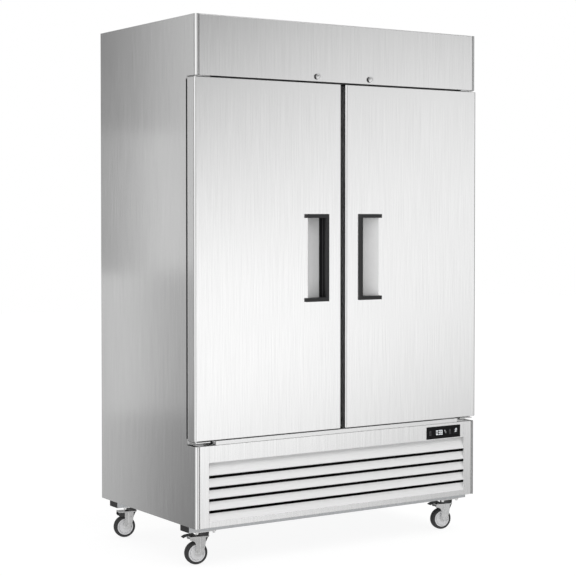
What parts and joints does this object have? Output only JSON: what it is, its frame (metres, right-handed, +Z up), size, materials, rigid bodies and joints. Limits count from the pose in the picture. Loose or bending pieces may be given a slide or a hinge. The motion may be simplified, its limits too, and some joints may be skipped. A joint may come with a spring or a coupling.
{
  "type": "reach-in refrigerator",
  "caption": "Two-door stainless steel reach-in refrigerator with a slatted lower front panel, recessed C-shaped door grips, inner shelves and swivel casters",
  "frame": {"origin": "on the floor under the middle of the cabinet's bounding box", "axes": "+Z up, the doors face -Y, +X is the right side as seen by somebody facing the doors"},
  "size_m": [1.391, 0.82, 2.123],
  "materials": {
    "stainless_steel": "vertical brushed grain",
    "galvanised_steel": "matte spangled zinc",
    "aluminium": "mill finish",
    "chrome": "polished",
    "zinc_plate": "bright zinc plating",
    "coated_wire": "epoxy coating",
    "liner": "smooth pale liner",
    "lamp_white": "milky diffuser",
    "black_plastic": "satin black",
    "black_gloss": "gloss black",
    "black_paint": "gloss black enamel",
    "dark_grey_plastic": "satin dark grey",
    "gasket_rubber": "matte",
    "tyre_rubber": "matte"
  },
  "bodies": {
    "cabinet": {"side_panel_left": "stainless_steel", "side_panel_right": "stainless_steel", "top_panel": "stainless_steel", "rear_panel": "galvanised_steel", "rear_cover": "galvanised_steel", "header_panel": "stainless_steel", "insulated_body": "liner", "door_frame": "stainless_steel", "front_grille": "stainless_steel", "base_deck": "galvanised_steel", "base_rail_front": "galvanised_steel", "base_rail_rear": "galvanised_steel", "cord_inlet": "black_plastic", "control_bezel": "black_gloss", "compressor": "black_paint", "condenser_coil": "aluminium", "condenser_shroud": "galvanised_steel", "evaporator_cover": "aluminium", "evaporator_coil": "aluminium", "interior_lamp": "lamp_white", "shelf_left_low": "coated_wire", "shelf_left_mid": "coated_wire", "shelf_left_high": "coated_wire", "shelf_right_low": "coated_wire", "shelf_right_mid": "coated_wire", "shelf_right_high": "coated_wire", "hinge_top_left": "stainless_steel", "hinge_bottom_left": "stainless_steel", "hinge_top_right": "stainless_steel", "hinge_bottom_right": "stainless_steel", "caster_plate_front_left": "zinc_plate", "caster_plate_front_right": "zinc_plate", "caster_plate_rear_left": "zinc_plate", "caster_plate_rear_right": "zinc_plate"},
    "door_left": {"door_left_skin": "stainless_steel", "door_left_core": "liner", "door_left_gasket": "gasket_rubber", "door_left_grip": "black_plastic"},
    "door_right": {"door_right_skin": "stainless_steel", "door_right_core": "liner", "door_right_gasket": "gasket_rubber", "door_right_grip": "black_plastic"},
    "lock_left": {"lock_left": "chrome"},
    "lock_right": {"lock_right": "chrome"},
    "button_left": {"control_button_left": "dark_grey_plastic"},
    "button_right": {"control_button_right": "dark_grey_plastic"},
    "power_switch": {"power_switch": "dark_grey_plastic"},
    "condenser_fan": {"condenser_fan": "dark_grey_plastic"},
    "evaporator_fan_left": {"evaporator_fan_left": "dark_grey_plastic"},
    "evaporator_fan_right": {"evaporator_fan_right": "dark_grey_plastic"},
    "fork_front_left": {"caster_fork_front_left": "zinc_plate"},
    "wheel_front_left": {"caster_wheel_front_left": "tyre_rubber"},
    "fork_front_right": {"caster_fork_front_right": "zinc_plate"},
    "wheel_front_right": {"caster_wheel_front_right": "tyre_rubber"},
    "fork_rear_left": {"caster_fork_rear_left": "zinc_plate"},
    "wheel_rear_left": {"caster_wheel_rear_left": "tyre_rubber"},
    "fork_rear_right": {"caster_fork_rear_right": "zinc_plate"},
    "wheel_rear_right": {"caster_wheel_rear_right": "tyre_rubber"},
    "pedal_left": {"brake_pedal_front_left": "black_plastic"},
    "pedal_right": {"brake_pedal_front_right": "black_plastic"}
  },
  "joints": [
    {"name": "door_left_hinge", "type": "hinge", "parent": "cabinet", "child": "door_left", "pos_m": [-0.6775, -0.378, 1.1885], "axis": [0, 0, -1], "range_deg": [0, 120]},
    {"name": "door_right_hinge", "type": "hinge", "parent": "cabinet", "child": "door_right", "pos_m": [0.6775, -0.378, 1.1885], "axis": [0, 0, 1], "range_deg": [0, 120]},
    {"name": "lock_left_turn", "type": "hinge", "parent": "cabinet", "child": "lock_left", "pos_m": [-0.13, -0.4, 1.91], "axis": [0, -1, 0], "range_deg": [0, 90]},
    {"name": "lock_right_turn", "type": "hinge", "parent": "cabinet", "child": "lock_right", "pos_m": [0.13, -0.4, 1.91], "axis": [0, -1, 0], "range_deg": [0, 90]},
    {"name": "button_left_press", "type": "slide", "parent": "cabinet", "child": "button_left", "axis": [0, 1, 0], "range_m": [0, 0.001], "stiffness_N_per_m": 800},
    {"name": "button_right_press", "type": "slide", "parent": "cabinet", "child": "button_right", "axis": [0, 1, 0], "range_m": [0, 0.001], "stiffness_N_per_m": 800},
    {"name": "power_switch_rock", "type": "hinge", "parent": "cabinet", "child": "power_switch", "pos_m": [0.5855, -0.399, 0.436], "axis": [-1, 0, 0], "range_deg": [0, 12]},
    {"name": "condenser_fan_spin", "type": "hinge", "parent": "cabinet", "child": "condenser_fan", "pos_m": [-0.18, -0.196, 0.2913], "axis": [0, 1, 0], "continuous": true},
    {"name": "evaporator_fan_left_spin", "type": "hinge", "parent": "cabinet", "child": "evaporator_fan_left", "pos_m": [-0.3, -0.004, 1.968], "axis": [0, 1, 0], "continuous": true},
    {"name": "evaporator_fan_right_spin", "type": "hinge", "parent": "cabinet", "child": "evaporator_fan_right", "pos_m": [0.3, -0.004, 1.968], "axis": [0, 1, 0], "continuous": true},
    {"name": "swivel_front_left", "type": "hinge", "parent": "cabinet", "child": "fork_front_left", "pos_m": [-0.61, -0.309, 0.1062], "axis": [0, 0, 1], "continuous": true},
    {"name": "roll_front_left", "type": "hinge", "parent": "fork_front_left", "child": "wheel_front_left", "pos_m": [-0.63641, -0.30339, 0.045], "axis": [0.2079, 0.9781, 0], "continuous": true},
    {"name": "swivel_front_right", "type": "hinge", "parent": "cabinet", "child": "fork_front_right", "pos_m": [0.61, -0.309, 0.1062], "axis": [0, 0, 1], "continuous": true},
    {"name": "roll_front_right", "type": "hinge", "parent": "fork_front_right", "child": "wheel_front_right", "pos_m": [0.58359, -0.30339, 0.045], "axis": [0.2079, 0.9781, 0], "continuous": true},
    {"name": "swivel_rear_left", "type": "hinge", "parent": "cabinet", "child": "fork_rear_left", "pos_m": [-0.61, 0.294, 0.1062], "axis": [0, 0, 1], "continuous": true},
    {"name": "roll_rear_left", "type": "hinge", "parent": "fork_rear_left", "child": "wheel_rear_left", "pos_m": [-0.63641, 0.29961, 0.045], "axis": [0.2079, 0.9781, 0], "continuous": true},
    {"name": "swivel_rear_right", "type": "hinge", "parent": "cabinet", "child": "fork_rear_right", "pos_m": [0.61, 0.294, 0.1062], "axis": [0, 0, 1], "continuous": true},
    {"name": "roll_rear_right", "type": "hinge", "parent": "fork_rear_right", "child": "wheel_rear_right", "pos_m": [0.58359, 0.29961, 0.045], "axis": [0.2079, 0.9781, 0], "continuous": true},
    {"name": "brake_left", "type": "hinge", "parent": "fork_front_left", "child": "pedal_left", "pos_m": [-0.64766, -0.301, 0.1156], "axis": [-0.2079, -0.9781, 0], "range_deg": [0, 12]},
    {"name": "brake_right", "type": "hinge", "parent": "fork_front_right", "child": "pedal_right", "pos_m": [0.57234, -0.301, 0.1156], "axis": [-0.2079, -0.9781, 0], "range_deg": [0, 12]}
  ]
}
